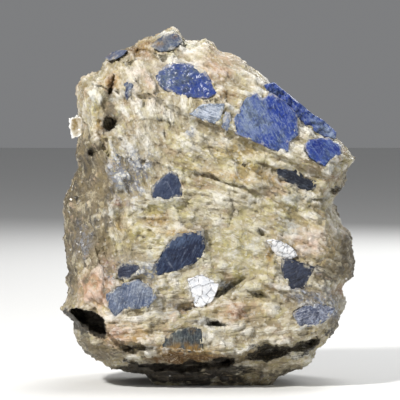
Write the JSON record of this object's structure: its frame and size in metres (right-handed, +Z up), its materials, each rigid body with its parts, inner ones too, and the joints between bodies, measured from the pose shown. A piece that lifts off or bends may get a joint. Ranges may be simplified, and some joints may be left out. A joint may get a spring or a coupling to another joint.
{
  "type": "sapphire in matrix",
  "caption": "Broken block of pale feldspar and mica schist with blue sapphire crystals grown into its face, standing on a flat broken base.",
  "frame": {"origin": "centre of the bounding box's underside, on the surface that the specimen stands on", "axes": "+Z up, -Y towards the face with the crystals, +X to the right of that face"},
  "size_m": [0.0729, 0.0568, 0.0883],
  "materials": {
    "feldspar": "rough broken feldspar and mica schist",
    "sapphire_cobalt": "glassy broken crystal face",
    "sapphire_navy": "glassy broken crystal face",
    "sapphire_grey": "hazy crystal face",
    "mica": "bright pearly cleavage"
  },
  "bodies": {
    "root": {"matrix": "feldspar", "sapphire_upper": "sapphire_cobalt", "sapphire_large": "sapphire_cobalt", "sapphire_right": "sapphire_cobalt", "sapphire_bead": "sapphire_cobalt", "sapphire_dark": "sapphire_navy", "sapphire_long": "sapphire_navy", "sapphire_knot": "sapphire_navy", "sapphire_low": "sapphire_navy", "sapphire_crest": "sapphire_grey", "sapphire_shoulder": "sapphire_grey", "sapphire_silver": "sapphire_grey", "sapphire_sliver": "sapphire_grey", "sapphire_middle": "sapphire_grey", "sapphire_pale": "sapphire_grey", "sapphire_rusty": "sapphire_grey", "sapphire_corner": "sapphire_grey", "mica_plate_centre": "mica", "mica_plate_right": "mica", "mica_flake": "mica"}
  },
  "joints": []
}
